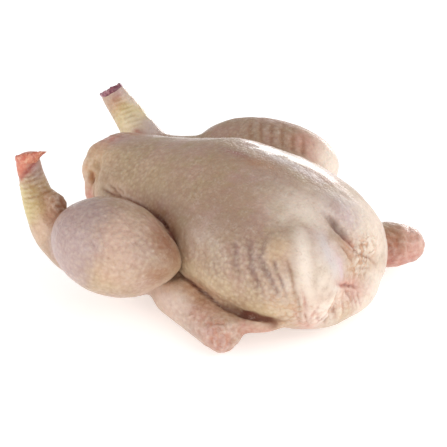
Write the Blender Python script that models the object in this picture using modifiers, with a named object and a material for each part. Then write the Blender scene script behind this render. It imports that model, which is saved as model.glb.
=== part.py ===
"""A whole raw duck, plucked and oven-ready, lying on its back with its breast up.

Head, neck, feet and wing tips are off. The skin is one unbroken cover over trunk,
legs and wings, so the bird is one solid. Metres, +Z up, +X towards the neck end,
-Y towards the leg that is splayed further out.
"""

import math

import bmesh
import bpy
import numpy as np
from mathutils import Matrix, Vector

# Driving dimensions, in metres.
TRUNK_LENGTH = 0.230
TRUNK_MIDDLE = -0.006
TRUNK_HALF_WIDTH = 0.077
TRUNK_HEIGHT = 0.109
VOXEL = 0.0022
SMOOTH_TURNS = 11
TRIANGLES = 10800
REST_DEPTH = 0.0012
NEAR_WING_ROUND = 0.006
FAR_WING_ROUND = 0.016

# Points round each ring, steps between given rows, and how a limb's end is rounded over.
TRUNK_RING = 48
TRUNK_STEPS = 5
LIMB_RING = 32
LINE_STEPS = 6
MASS_CUTS = 4
ROUND_TURNS = (0.3, 0.6, 0.9)
ROUND_POWER = 0.7
# Share of a fold's line that it starts and ends inside of, and the last smoothing.
FOLD_END = 0.12
SMOOTH_SHARE = 0.5
EASE_TURNS = 2

SKIN_COLOUR = (0.66, 0.50, 0.40, 1.0)
SKIN_ROUGHNESS = 0.42

# Trunk sections from tail to neck: share of the length, half width as a share of the
# widest, then underside, widest level and breast line as shares of the height.
TRUNK_SECTIONS = (
    (0.000, 0.28, 0.40, 0.56, 0.72),
    (0.025, 0.38, 0.33, 0.55, 0.775),
    (0.120, 0.50, 0.20, 0.50, 0.815),
    (0.300, 0.62, 0.06, 0.46, 0.885),
    (0.480, 0.80, 0.00, 0.44, 0.97),
    (0.660, 0.95, 0.00, 0.42, 0.94),
    (0.800, 0.92, 0.01, 0.41, 0.87),
    (0.910, 0.80, 0.04, 0.38, 0.77),
    (0.975, 0.63, 0.08, 0.36, 0.63),
    (1.000, 0.47, 0.16, 0.33, 0.49),
)
# The front leans towards -Y by this much at the neck end.
FRONT_LEAN = 0.005

# Fleshy masses: centre, half sizes, direction of the first half size.
MASSES = {
    "near_drumstick": ((-0.032, -0.091, 0.0555), (0.0455, 0.035, 0.0322), (1.0, 0.10, -0.10)),
    "near_thigh": ((-0.038, -0.072, 0.042), (0.036, 0.034, 0.031), (1.0, -0.10, 0.0)),
    "near_breast": ((0.050, -0.038, 0.044), (0.048, 0.036, 0.038), (1.0, 0.10, 0.0)),
    "near_lobe": ((0.072, -0.036, 0.048), (0.042, 0.035, 0.0365), (1.0, 0.25, 0.0)),
    "far_lobe": ((0.067, 0.023, 0.041), (0.040, 0.034, 0.038), (1.0, -0.20, 0.0)),
    "neck_skin": ((0.094, 0.002, 0.026), (0.021, 0.034, 0.019), (1.0, 0.0, 0.0)),
    "wing_web": ((0.070, -0.062, 0.0205), (0.021, 0.012, 0.006), (1.0, 0.45, 0.20)),
    "far_drumstick": ((-0.032, 0.084, 0.058), (0.058, 0.032, 0.031), (1.0, 0.28, 0.0)),
    "far_thigh": ((-0.010, 0.064, 0.046), (0.046, 0.036, 0.034), (1.0, 0.20, 0.0)),
    "near_heel": ((-0.089, -0.085, 0.068), (0.0110, 0.0075, 0.0070), (0.6, 0.0, -1.0)),
    "far_heel": ((-0.113, 0.044, 0.073), (0.0100, 0.0075, 0.0070), (0.6, 0.0, -1.0)),
}

# Limb stations: x, y, z, half width, half height.
NEAR_SHANK = (
    (-0.046, -0.090, 0.052, 0.022, 0.021),
    (-0.066, -0.088, 0.042, 0.0200, 0.0190),
    (-0.088, -0.088, 0.047, 0.0160, 0.0160),
    (-0.1005, -0.087, 0.060, 0.0128, 0.0130),
    (-0.1070, -0.0865, 0.074, 0.0106, 0.0108),
    (-0.1115, -0.0865, 0.088, 0.0090, 0.0090),
    (-0.1145, -0.0865, 0.1005, 0.0088, 0.0088),
)
FAR_SHANK = (
    (-0.060, 0.072, 0.056, 0.022, 0.022),
    (-0.082, 0.060, 0.052, 0.019, 0.019),
    (-0.104, 0.049, 0.054, 0.0165, 0.0165),
    (-0.121, 0.043, 0.067, 0.0135, 0.0135),
    (-0.134, 0.0415, 0.080, 0.0110, 0.0110),
    (-0.144, 0.0415, 0.090, 0.0098, 0.0098),
    (-0.151, 0.0415, 0.0995, 0.0098, 0.0098),
)
NEAR_WING = (
    (0.020, -0.042, 0.024, 0.016, 0.016),
    (-0.004, -0.058, 0.021, 0.015, 0.015),
    (0.000, -0.066, 0.019, 0.0145, 0.014),
    (0.018, -0.071, 0.018, 0.0145, 0.014),
    (0.040, -0.078, 0.017, 0.014, 0.013),
    (0.060, -0.084, 0.016, 0.013, 0.012),
)
FAR_WING = (
    (0.056, 0.044, 0.028, 0.014, 0.014),
    (0.070, 0.060, 0.026, 0.015, 0.015),
    (0.084, 0.077, 0.0245, 0.0185, 0.0165),
    (0.090, 0.086, 0.0230, 0.0165, 0.0140),
)

# Folds of the skin: depth (below zero cuts in), half width, then the line it follows.
FOLDS = (
    # Valley between the two sides of the breast, down to the neck.
    (-0.0050, 0.0065, (0.080, -0.012, 0.090), (0.098, -0.008, 0.079), (0.109, 0.000, 0.064)),
    (-0.0045, 0.0045, (0.109, 0.000, 0.064), (0.112, 0.012, 0.052), (0.110, 0.024, 0.044)),
    # Slack skin beside it.
    (-0.0020, 0.0080, (0.094, -0.022, 0.079), (0.106, -0.024, 0.064), (0.113, -0.020, 0.040)),
    (0.0020, 0.0040, (0.108, -0.010, 0.060), (0.114, 0.002, 0.050), (0.112, 0.016, 0.040)),
    (-0.0030, 0.0030, (0.114, -0.026, 0.043), (0.115, -0.014, 0.036), (0.112, 0.002, 0.026)),
    # Neck skin folded under between its two lobes.
    (-0.0060, 0.0040, (0.114, -0.028, 0.038), (0.110, -0.030, 0.026), (0.104, -0.042, 0.014)),
    (-0.0025, 0.0040, (0.098, -0.064, 0.040), (0.100, -0.060, 0.028), (0.100, -0.052, 0.016)),
    # Fanned wrinkles on the side of the breast.
    (-0.0016, 0.0028, (0.074, -0.074, 0.044), (0.077, -0.066, 0.063), (0.078, -0.052, 0.078)),
    (-0.0016, 0.0028, (0.084, -0.071, 0.040), (0.088, -0.063, 0.059), (0.087, -0.049, 0.075)),
    (-0.0014, 0.0028, (0.094, -0.067, 0.038), (0.097, -0.058, 0.056), (0.095, -0.045, 0.073)),
    # Vent, with a lip of skin behind it, and a crease in front of the tail.
    (-0.0055, 0.0045, (-0.107, -0.025, 0.080), (-0.104, -0.030, 0.072), (-0.100, -0.034, 0.062)),
    (0.0040, 0.0050, (-0.117, -0.014, 0.082), (-0.117, -0.016, 0.070), (-0.112, -0.020, 0.058)),
    (-0.0014, 0.0035, (-0.086, -0.038, 0.070), (-0.072, -0.042, 0.066), (-0.058, -0.050, 0.070)),
    # Creases between drumstick and breast, and between wing and breast.
    (-0.0018, 0.0045, (-0.016, -0.067, 0.074), (-0.002, -0.067, 0.066), (0.009, -0.071, 0.044)),
    (-0.0020, 0.0040, (0.010, -0.069, 0.043), (0.034, -0.073, 0.036), (0.062, -0.070, 0.026)),
)


def smooth_rows(rows, steps):
    """Catmull-Rom rows between the given ones, with `steps` pieces to each span."""
    rows = np.asarray(rows, float)
    padded = np.vstack([2 * rows[0] - rows[1], rows, 2 * rows[-1] - rows[-2]])
    out = []
    for a, b, c, d in zip(padded, padded[1:], padded[2:], padded[3:]):
        for t in np.arange(steps) / steps:
            bend = (2 * a - 5 * b + 4 * c - d) * t**2 + (3 * b - a - 3 * c + d) * t**3
            out.append(0.5 * (2 * b + (c - a) * t + bend))
    out.append(rows[-1])
    return np.array(out)


def skin_rings(name, rings, collection):
    """A closed mesh through rings of points, with a fan to the middle of each end ring."""
    mesh = bmesh.new()
    loops = [[mesh.verts.new(p) for p in ring] for ring in rings]
    for low, high in zip(loops, loops[1:]):
        for i in range(len(low)):
            j = (i + 1) % len(low)
            mesh.faces.new((low[i], low[j], high[j], high[i]))
    for loop in (loops[0], loops[-1]):
        middle = mesh.verts.new(sum((v.co for v in loop), Vector()) / len(loop))
        for i in range(len(loop)):
            mesh.faces.new((loop[i], loop[(i + 1) % len(loop)], middle))
    bmesh.ops.recalc_face_normals(mesh, faces=mesh.faces)
    data = bpy.data.meshes.new(name)
    mesh.to_mesh(data)
    mesh.free()
    made = bpy.data.objects.new(name, data)
    collection.objects.link(made)
    return made


def trunk(collection):
    """The body: oval sections along X, with the breast above the widest level."""
    rings = []
    for share, width, low, wide, high in smooth_rows(TRUNK_SECTIONS, TRUNK_STEPS):
        x = (share - 0.5) * TRUNK_LENGTH + TRUNK_MIDDLE
        lean = FRONT_LEAN * max(0.0, share - 0.5) * 2
        ring = []
        for angle in np.linspace(0, 2 * math.pi, TRUNK_RING, endpoint=False):
            y = math.cos(angle) * width * TRUNK_HALF_WIDTH - lean
            reach = (high - wide) if math.sin(angle) > 0 else (wide - low)
            z = (wide + math.sin(angle) * reach) * TRUNK_HEIGHT
            ring.append((x, y, z))
        rings.append(ring)
    return skin_rings("trunk", rings, collection)


def limb(name, stations, collection, round_end=0.0):
    """A tube through (x, y, z, half width, half height) stations; the last ring can be
    rounded over by `round_end`, in metres."""
    rows = smooth_rows(stations, LINE_STEPS)
    if round_end:
        last, ahead = rows[-1], rows[-1][:3] - rows[-2][:3]
        ahead = ahead / np.linalg.norm(ahead)
        for turn in ROUND_TURNS:
            more = last.copy()
            more[:3] += ahead * round_end * math.sin(turn * math.pi / 2)
            more[3:] *= math.cos(turn * math.pi / 2) ** ROUND_POWER
            rows = np.vstack([rows, more])
    side = None
    rings = []
    for i, (x, y, z, wide, high) in enumerate(rows):
        before, after = rows[max(i - 1, 0), :3], rows[min(i + 1, len(rows) - 1), :3]
        along = Vector(after - before).normalized()
        if side is None:
            side = Vector((0, 0, 1)).cross(along).normalized()
        side = (side - along * side.dot(along)).normalized()
        rise = along.cross(side)
        ring = []
        for angle in np.linspace(0, 2 * math.pi, LIMB_RING, endpoint=False):
            reach = side * (math.cos(angle) * wide) + rise * (math.sin(angle) * high)
            ring.append(Vector((x, y, z)) + reach)
        rings.append(ring)
    return skin_rings(name, rings, collection)


def mass(name, shape, collection):
    """A rounded mass of flesh: an icosphere pulled to three half sizes and turned."""
    centre, halves, along = shape
    mesh = bmesh.new()
    bmesh.ops.create_icosphere(mesh, subdivisions=MASS_CUTS, radius=1.0)
    x = Vector(along).normalized()
    y = Vector((0, 0, 1)).cross(x).normalized()
    turn = Matrix((x, y, x.cross(y))).transposed().to_4x4()
    stretch = Matrix.Diagonal((*halves, 1.0))
    mesh.transform(Matrix.Translation(centre) @ turn @ stretch)
    data = bpy.data.meshes.new(name)
    mesh.to_mesh(data)
    mesh.free()
    made = bpy.data.objects.new(name, data)
    collection.objects.link(made)
    return made


def apply(thing):
    """Applies every modifier of `thing`."""
    bpy.context.view_layer.objects.active = thing
    for modifier in list(thing.modifiers):
        bpy.ops.object.modifier_apply(modifier=modifier.name)


def press_folds(thing):
    """Moves the skin along its normals, in or out, beside the line of each fold."""
    count = len(thing.data.vertices)
    points, normals = np.empty(count * 3), np.empty(count * 3)
    thing.data.vertices.foreach_get("co", points)
    thing.data.vertices.foreach_get("normal", normals)
    points, normals = points.reshape(-1, 3), normals.reshape(-1, 3)
    shift = np.zeros(count)
    for depth, width, *line in FOLDS:
        line = smooth_rows(line, LINE_STEPS)
        nearest = np.full(count, 1.0)
        fade = np.ones(count)
        for i, (start, end) in enumerate(zip(line, line[1:])):
            along = end - start
            share = np.clip((points - start) @ along / (along @ along), 0.0, 1.0)
            away = np.linalg.norm(points - start - share[:, None] * along, axis=1)
            place = (i + share) / (len(line) - 1)
            closer = away < nearest
            nearest[closer] = away[closer]
            fade[closer] = np.sin(np.pi * (FOLD_END + (1 - 2 * FOLD_END) * place[closer]))
        shift += depth * fade * np.exp(-((nearest / width) ** 2))
    points += normals * shift[:, None]
    thing.data.vertices.foreach_set("co", points.ravel())


def settle(thing):
    """Flattens the spot the bird lies on and puts the origin below its middle."""
    count = len(thing.data.vertices)
    points = np.empty(count * 3)
    thing.data.vertices.foreach_get("co", points)
    points = points.reshape(-1, 3)
    floor = points[:, 2].min() + REST_DEPTH
    points[:, 2] = np.maximum(points[:, 2], floor)
    middle = (points.max(axis=0) + points.min(axis=0)) / 2
    points -= (middle[0], middle[1], floor)
    thing.data.vertices.foreach_set("co", points.ravel())


def main():
    """Joins trunk, masses and limbs, smooths them into one skin and folds it."""
    for thing in list(bpy.data.objects):
        bpy.data.objects.remove(thing)
    parts = bpy.data.collections.new("duck")
    cutters = bpy.data.collections.new("cutters")
    for made in (parts, cutters):
        bpy.context.scene.collection.children.link(made)
    duck = trunk(parts)
    duck.name = "duck"
    for name, shape in MASSES.items():
        mass(name, shape, cutters)
    limb("near_shank", NEAR_SHANK, cutters)
    limb("far_shank", FAR_SHANK, cutters)
    limb("near_wing", NEAR_WING, cutters, NEAR_WING_ROUND)
    limb("far_wing", FAR_WING, cutters, FAR_WING_ROUND)

    join = duck.modifiers.new("join", "BOOLEAN")
    join.operation = "UNION"
    join.operand_type = "COLLECTION"
    join.collection = cutters
    join.solver = "EXACT"
    apply(duck)
    for thing in list(cutters.objects):
        bpy.data.objects.remove(thing)

    skin = duck.modifiers.new("skin", "REMESH")
    skin.mode = "VOXEL"
    skin.voxel_size = VOXEL
    skin.use_smooth_shade = True
    soften = duck.modifiers.new("soften", "SMOOTH")
    soften.factor = SMOOTH_SHARE
    soften.iterations = SMOOTH_TURNS
    apply(duck)
    press_folds(duck)
    ease = duck.modifiers.new("ease", "SMOOTH")
    ease.factor = SMOOTH_SHARE
    ease.iterations = EASE_TURNS

    fewer = duck.modifiers.new("fewer", "DECIMATE")
    fewer.ratio = TRIANGLES / sum(len(face.vertices) - 2 for face in duck.data.polygons)
    apply(duck)
    settle(duck)

    skin_finish = bpy.data.materials.new("skin")
    skin_finish.use_nodes = True
    shader = skin_finish.node_tree.nodes["Principled BSDF"]
    shader.inputs["Base Color"].default_value = SKIN_COLOUR
    shader.inputs["Roughness"].default_value = SKIN_ROUGHNESS
    duck.data.materials.clear()
    duck.data.materials.append(skin_finish)
    duck.data.polygons.foreach_set("material_index", [0] * len(duck.data.polygons))


if __name__ == "__main__":
    main()
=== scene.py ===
"""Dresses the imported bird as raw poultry: skin with its folds, creases and pores, the torn
ends of its shanks, a pale floor, soft light and the camera.

The bird's own sizes and places are in millimetres, and the studio's are in metres. Scales
of noise and of cells are bumps or cells to the metre.
"""

import logging
import math
from dataclasses import dataclass
from enum import Enum
from typing import Any

import bpy
import numpy as np
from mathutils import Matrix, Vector, noise


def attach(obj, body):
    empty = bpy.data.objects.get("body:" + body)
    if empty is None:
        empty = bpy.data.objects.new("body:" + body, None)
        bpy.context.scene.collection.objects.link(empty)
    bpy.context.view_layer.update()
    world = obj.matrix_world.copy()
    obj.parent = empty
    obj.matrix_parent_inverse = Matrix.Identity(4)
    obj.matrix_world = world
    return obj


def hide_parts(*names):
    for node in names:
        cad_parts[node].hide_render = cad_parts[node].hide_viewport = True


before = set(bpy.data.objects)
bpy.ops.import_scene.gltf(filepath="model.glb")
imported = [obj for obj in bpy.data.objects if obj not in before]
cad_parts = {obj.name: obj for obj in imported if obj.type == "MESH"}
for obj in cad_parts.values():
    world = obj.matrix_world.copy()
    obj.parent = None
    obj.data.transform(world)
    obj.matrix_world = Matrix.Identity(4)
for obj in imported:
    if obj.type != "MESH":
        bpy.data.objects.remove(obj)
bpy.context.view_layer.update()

log = logging.getLogger("duck")

Colour = tuple[float, float, float, float]
Point = tuple[float, float, float]
MILLIMETRE = 0.001


def paint(red: int, green: int, blue: int) -> Colour:
    """Turns a display colour into the linear one that shaders take.

    Args:
        red, green, blue: shares of 255, as a screen shows them.

    Returns:
        The linear colour with full alpha.
    """
    shares = [part / 255 for part in (red, green, blue)]
    lin = [s / 12.92 if s <= 0.04045 else ((s + 0.055) / 1.055) ** 2.4 for s in shares]
    return (lin[0], lin[1], lin[2], 1.0)


class Mask(Enum):
    """What a share stored at each point of the skin stands for."""

    MAUVE = "mauve"
    GREY = "grey"
    CREAM = "cream"
    YELLOW = "yellow"
    PEACH = "peach"
    RED = "red"
    FLESH = "flesh"
    BROWN = "brown"
    # dark red-brown: mostly painted shade in creases, hollows and the vent, also darker skin at the shank's
    # heel
    DARK = "dark"
    SCALES = "scales"
    PLUM = "plum"
    BLOOD = "blood"
    BLUSH = "blush"
    RUST = "rust"
    LILAC = "lilac"
    OLIVE = "olive"
    FLECK = "fleck"
    DULL = "dull"
    BUMPY = "bumpy"
    # painted shade, deepest where the skin lies below its surroundings
    CREASE = "crease"
    # painted highlight, strongest where the skin stands above its surroundings
    RIDGE_HIGHLIGHT = "ridge"


@dataclass(frozen=True)
class Patch:
    """An oval patch of one mask; power is how sharply it ends."""

    mask: Mask
    centre: Point
    reach: Point
    strength: float = 1.0
    power: float = 2.0


@dataclass(frozen=True)
class Fold:
    """A groove or ridge of the skin along a smooth line, with its own colour.

    depth is how far the skin moves, below zero inwards; width is the half width; share is
    the strength of the colour."""

    depth: float
    width: float
    line: tuple[Point, ...]
    tone: Mask | None = None
    share: float = 1.0


@dataclass(frozen=True)
class Fan:
    """Folds spread evenly between a first and a last line."""

    depth: float
    width: float
    first: tuple[Point, ...]
    last: tuple[Point, ...]
    count: int
    tone: Mask | None = None
    share: float = 1.0

    def folds(self) -> tuple[Fold, ...]:
        """Works out each fold of the fan.

        Returns:
            The folds, from first to last.
        """
        out = []
        for i in range(self.count):
            start, end = np.array(self.first), np.array(self.last)
            line = start + (end - start) * (i / (self.count - 1))
            points = tuple(tuple(point) for point in line)
            out.append(Fold(self.depth, self.width, points, self.tone, self.share))
        return tuple(out)


@dataclass(frozen=True)
class Ripples:
    """Parallel wrinkles in an oval region: across is the direction that crosses them."""

    height: float
    spacing: float
    across: Point
    centre: Point
    reach: Point


@dataclass(frozen=True)
class Lumps:
    """Irregular bumps in an oval region, `scale` of them to the metre."""

    height: float
    scale: float
    centre: Point
    reach: Point


@dataclass(frozen=True)
class Swell:
    """Skin in an oval region that faces `way`, moved that way to close a gap."""

    amount: float
    way: Point
    centre: Point
    reach: Point


# ---------------------------------------------------------------- shader graph


class Value:
    """A shader socket that Python's operators work on."""

    def __init__(self, graph: "Graph", socket: bpy.types.NodeSocket) -> None:
        """Keeps the graph and the socket."""
        self.graph = graph
        self.socket = socket

    def _math(self, operation: str, *others: Any, clamp: bool = False) -> "Value":
        """Adds one Math node.

        Args:
            operation: the Math node's operation.
            others: what its inputs take, in order.
            clamp: whether the result is held between 0 and 1.

        Returns:
            The node's result.
        """
        settings = {"operation": operation, "use_clamp": clamp}
        made = self.graph.node("ShaderNodeMath", settings, dict(enumerate(others)))
        return Value(self.graph, made.outputs[0])

    def __add__(self, other: Any) -> "Value":
        """self + other"""
        return self._math("ADD", self, other)

    __radd__ = __add__

    def __sub__(self, other: Any) -> "Value":
        """self - other"""
        return self._math("SUBTRACT", self, other)

    def __rsub__(self, other: Any) -> "Value":
        """other - self"""
        return self._math("SUBTRACT", other, self)

    def __mul__(self, other: Any) -> "Value":
        """self * other"""
        return self._math("MULTIPLY", self, other)

    __rmul__ = __mul__

    def held(self) -> "Value":
        """The value held between 0 and 1."""
        return self._math("ADD", self, 0.0, clamp=True)

    def step(self, low: float, high: float) -> "Value":
        """Runs smoothly from 0 at `low` to 1 at `high`.

        Args:
            low: the value that gives 0.
            high: the value that gives 1.

        Returns:
            The share.
        """
        settings = {"interpolation_type": "SMOOTHSTEP"}
        made = self.graph.node("ShaderNodeMapRange", settings, {0: self, 1: low, 2: high})
        return Value(self.graph, made.outputs[0])


class Graph:
    """The node tree of one material."""

    def __init__(self, name: str) -> None:
        """Makes a material with a Principled shader only.

        Args:
            name: the material's name.
        """
        self.material = bpy.data.materials.new(name)
        self.material.use_nodes = True
        self.tree = self.material.node_tree
        self.shader = self.tree.nodes["Principled BSDF"]
        self.place = self.node("ShaderNodeTexCoord").outputs["Object"]

    def node(
        self,
        kind: str,
        settings: dict[str, Any] | None = None,
        sockets: dict[int | str, Any] | None = None,
    ) -> bpy.types.Node:
        """Adds a node, sets it up, then fills its sockets.

        Args:
            kind: the node's type.
            settings: its properties.
            sockets: input number or name, and a value, a socket or a Value.

        Returns:
            The node.
        """
        made = self.tree.nodes.new(kind)
        for key, value in (settings or {}).items():
            setattr(made, key, value)
        for key, value in (sockets or {}).items():
            self.feed(made.inputs[key], value)
        return made

    def feed(self, socket: bpy.types.NodeSocket, value: Any) -> None:
        """Links a value to a socket, or sets it there.

        Args:
            socket: the input to fill.
            value: a plain value, a socket or a Value.
        """
        if isinstance(value, Value):
            value = value.socket
        if isinstance(value, bpy.types.NodeSocket):
            self.tree.links.new(value, socket)
        else:
            socket.default_value = value

    def share(self, mask: Mask) -> Value:
        """The share that the mesh stores for a mask."""
        made = self.node("ShaderNodeAttribute", {"attribute_name": mask.value})
        return Value(self, made.outputs["Fac"])

    def grain(self, scale: float, detail: float = 2.0, rough: float = 0.5) -> Value:
        """Noise of about one bump in 1/scale metres, from 0 to 1.

        Args:
            scale: bumps to the metre.
            detail: how many finer layers are added.
            rough: how strong those are.

        Returns:
            The noise value.
        """
        sockets = {"Vector": self.place, "Scale": scale, "Detail": detail, "Roughness": rough}
        return Value(self, self.node("ShaderNodeTexNoise", None, sockets).outputs[0])

    def cells(self, scale: float, where: Any = None) -> Value:
        """Distance to the nearest of scattered points, `scale` of them to the metre.

        Args:
            scale: cells to the metre.
            where: the coordinates, or None for the object's own.

        Returns:
            The distance in cells.
        """
        sockets = {"Vector": where or self.place, "Scale": scale, "Randomness": 0.8}
        return Value(self, self.node("ShaderNodeTexVoronoi", None, sockets).outputs["Distance"])

    def wavering(self, scale: float, amount: float) -> bpy.types.NodeSocket:
        """The object's coordinates, shifted by noise so that cells get uneven shapes.

        Args:
            scale: bumps of the noise to the metre.
            amount: the size of the shift, in metres.

        Returns:
            The shifted coordinates.
        """
        noisy = self.node("ShaderNodeTexNoise", None, {"Vector": self.place, "Scale": scale})
        settings = {"operation": "MULTIPLY_ADD"}
        sockets = {0: noisy.outputs["Color"], 1: (amount, amount, amount), 2: self.place}
        return self.node("ShaderNodeVectorMath", settings, sockets).outputs[0]

    def mix(self, share: Any, first: Any, second: Any, kind: str = "MIX") -> Any:
        """Mixes two colours.

        Args:
            share: how much of the second there is.
            first: a colour or a colour socket.
            second: the same.
            kind: the blend type.

        Returns:
            The mixed colour's socket.
        """
        settings = {"data_type": "RGBA", "blend_type": kind, "clamp_factor": True}
        return self.node("ShaderNodeMix", settings, {0: share, 6: first, 7: second}).outputs[2]

    def bump(self, height: Value) -> bpy.types.NodeSocket:
        """A normal from a height in millimetres."""
        sockets = {"Height": height, "Distance": MILLIMETRE, "Strength": 1.0}
        return self.node("ShaderNodeBump", None, sockets).outputs["Normal"]

    def finish(self, fixed: dict[str, Any], driven: dict[str, Any]) -> bpy.types.Material:
        """Sets the shader's own values and its driven sockets.

        Args:
            fixed: socket names and plain values.
            driven: socket names and links.

        Returns:
            The material.
        """
        for name, value in {**fixed, **driven}.items():
            self.feed(self.shader.inputs[name], value)
        return self.material


# ---------------------------------------------------------------- finishes


@dataclass(frozen=True)
class SkinFinish:
    """Moist poultry skin: beige, with mauve, cream, yellow and red places."""

    name: str = "duck_skin"
    beige: Colour = paint(172, 140, 114)
    rosy: Colour = paint(178, 141, 124)
    olive: Colour = paint(170, 143, 108)
    # Tones of the skin's own colours; some also serve as painted light and shade: the dark, brown and plum
    # tones darken creases, hollows and wrinkle grooves, and the cream, peach and grey tones lighten places
    # that lie in shade or catch the light.
    tones: tuple[tuple[Mask, Colour, float], ...] = (
        (Mask.PEACH, paint(222, 184, 154), 0.85),
        (Mask.BLUSH, paint(224, 188, 170), 0.90),
        (Mask.YELLOW, paint(214, 190, 142), 0.80),
        (Mask.SCALES, paint(222, 204, 138), 0.95),
        (Mask.OLIVE, paint(170, 138, 74), 1.0),
        (Mask.MAUVE, paint(182, 154, 151), 0.95),
        (Mask.CREAM, paint(252, 236, 220), 0.95),
        (Mask.GREY, paint(214, 203, 204), 0.85),
        (Mask.LILAC, paint(214, 188, 194), 0.85),
        (Mask.PLUM, paint(148, 118, 108), 0.90),
        (Mask.RED, paint(206, 132, 118), 0.90),
        (Mask.FLESH, paint(216, 118, 90), 0.95),
        (Mask.BROWN, paint(158, 106, 70), 0.92),
        (Mask.RUST, paint(196, 124, 62), 0.90),
        (Mask.BLOOD, paint(156, 58, 48), 0.90),
        # dark red-brown: mostly painted shade in creases and hollows, also the heel's darker skin
        (Mask.DARK, paint(118, 60, 42), 0.95),
    )
    shade: Colour = paint(150, 100, 74)
    pale: Colour = paint(240, 226, 212)
    fat: Colour = paint(234, 214, 178)
    seam: Colour = paint(196, 132, 92)
    # Sizes of what breaks the skin up, to the metre.
    blotches: float = 45.0
    olive_blotches: float = 75.0
    mottle: float = 170.0
    grit: float = 620.0
    follicles: float = 290.0
    pores: float = 520.0
    lumps: float = 260.0
    # Heights in millimetres.
    follicle_height: float = 0.60
    pore_height: float = 0.12
    grit_height: float = 0.22
    mottle_height: float = 0.55
    lump_height: float = 0.90
    # How the fatty lumps' outlines waver: bumps to the metre, and how far.
    lump_waver: tuple[float, float] = (240.0, 4.5 * MILLIMETRE)
    # Wet shine over a matt skin.
    moisture: float = 0.34
    dullness: float = 0.62
    fixed: tuple[tuple[str, Any], ...] = (
        ("Subsurface Weight", 0.12),
        ("Subsurface Radius", (1.0, 0.45, 0.28)),
        ("Subsurface Scale", 4 * MILLIMETRE),
        ("Specular IOR Level", 0.4),
        ("Coat Roughness", 0.15),
    )

    def make(self) -> bpy.types.Material:
        """Builds the skin's shader.

        Returns:
            The material.
        """
        g = Graph(self.name)
        broad = g.grain(self.blotches, 3.0)
        middle = g.grain(self.mottle, 3.0, 0.6)
        fine = g.grain(self.grit, 2.0, 0.6)
        dome = 1 - g.cells(self.follicles).step(0.0, 0.80)
        pore = 1 - g.cells(self.pores).step(0.05, 0.70)
        dark = g.share(Mask.DARK)
        clear = 1 - dark
        wet = clear * (1 - 0.9 * g.share(Mask.DULL))
        bumpy = g.share(Mask.BUMPY) * clear
        fleck = g.share(Mask.FLECK) * clear
        seam = g.cells(self.lumps, g.wavering(*self.lump_waver)).step(0.40, 0.74)
        breakup = (middle - 0.5) * 1.1

        colour = g.mix(broad.step(0.40, 0.66), self.beige, self.rosy)
        olive_share = g.grain(self.olive_blotches, 2.0).step(0.48, 0.70) * 0.7
        colour = g.mix(olive_share, colour, self.olive)
        for mask, tone, limit in self.tones:
            share = g.share(mask)
            ragged = (share + breakup * share * (1 - share) * 1.4).held() * limit
            colour = g.mix(ragged, colour, tone)
        # Painted shade: skin that lies below its surroundings is darkened towards the shade colour.
        colour = g.mix(g.share(Mask.CREASE) * (0.9 - 0.5 * dark), colour, self.shade, "MULTIPLY")
        # Painted highlight: skin that stands above its surroundings is lightened, except on flesh and
        # painted shade.
        bare = clear * (1 - g.share(Mask.FLESH))
        colour = g.mix(g.share(Mask.RIDGE_HIGHLIGHT) * bare * 0.35, colour, self.pale)
        speck = (fine - 0.5) * 0.6 + (middle - 0.5) * 0.5
        colour = g.mix(speck.step(0.0, 0.22) * 0.20, colour, self.pale)
        colour = g.mix((0 - speck).step(0.0, 0.22) * 0.22, colour, self.shade)
        colour = g.mix(dome * bumpy * 0.42, colour, self.fat)
        colour = g.mix((1 - dome) * bumpy * 0.20, colour, self.shade)
        colour = g.mix(seam * fleck * 0.65, colour, self.seam)
        colour = g.mix((1 - seam) * fleck * 0.40, colour, self.pale)

        height = dome * bumpy * self.follicle_height + pore * clear * self.pore_height
        height = height + fine * self.grit_height + middle * self.mottle_height
        height = height + (1 - seam) * fleck * self.lump_height
        driven = {
            "Base Color": colour,
            "Coat Weight": wet * self.moisture,
            "Roughness": self.dullness + fine * 0.16 - wet * 0.24 + dark * 0.15,
            "Normal": g.bump(height),
        }
        return g.finish(dict(self.fixed), driven)


@dataclass(frozen=True)
class FleshFinish:
    """Torn wet flesh, with darker and fatty places."""

    name: str
    base: Colour
    dark: Colour
    fat: Colour
    # Sizes of what breaks the flesh up, to the metre.
    clumps: float = 260.0
    fatty_spots: float = 420.0
    fibres: float = 900.0

    def make(self) -> bpy.types.Material:
        """Builds the flesh's shader.

        Returns:
            The material.
        """
        g = Graph(self.name)
        coarse = g.grain(self.clumps, 3.0, 0.6)
        fine = g.grain(self.fibres, 2.0)
        colour = g.mix(coarse.step(0.42, 0.62), self.dark, self.base)
        colour = g.mix(g.grain(self.fatty_spots, 2.0).step(0.55, 0.70) * 0.7, colour, self.fat)
        fixed = {
            "Subsurface Weight": 0.15,
            "Subsurface Radius": (1.0, 0.35, 0.22),
            "Subsurface Scale": 3 * MILLIMETRE,
            "Coat Weight": 0.35,
            "Coat Roughness": 0.18,
        }
        height = coarse * 0.5 + fine * 0.15
        driven = {"Base Color": colour, "Roughness": 0.34 + fine * 0.2, "Normal": g.bump(height)}
        return g.finish(fixed, driven)


@dataclass(frozen=True)
class BoneFinish:
    """Cut bone: pale and porous, with a red middle."""

    name: str
    pale: Colour = paint(226, 206, 184)
    pink: Colour = paint(196, 128, 110)
    # Holes to the metre, and their depth in millimetres.
    holes: float = 1500.0
    hole_depth: float = 0.12

    def make(self) -> bpy.types.Material:
        """Builds the bone's shader.

        Returns:
            The material.
        """
        g = Graph(self.name)
        solid = g.cells(self.holes).step(0.10, 0.40)
        colour = g.mix(solid, self.pink, self.pale)
        fixed = {"Coat Weight": 0.1, "Roughness": 0.5}
        return g.finish(fixed, {"Base Color": colour, "Normal": g.bump(solid * self.hole_depth)})


# ---------------------------------------------------------------- mesh sculpting


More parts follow.
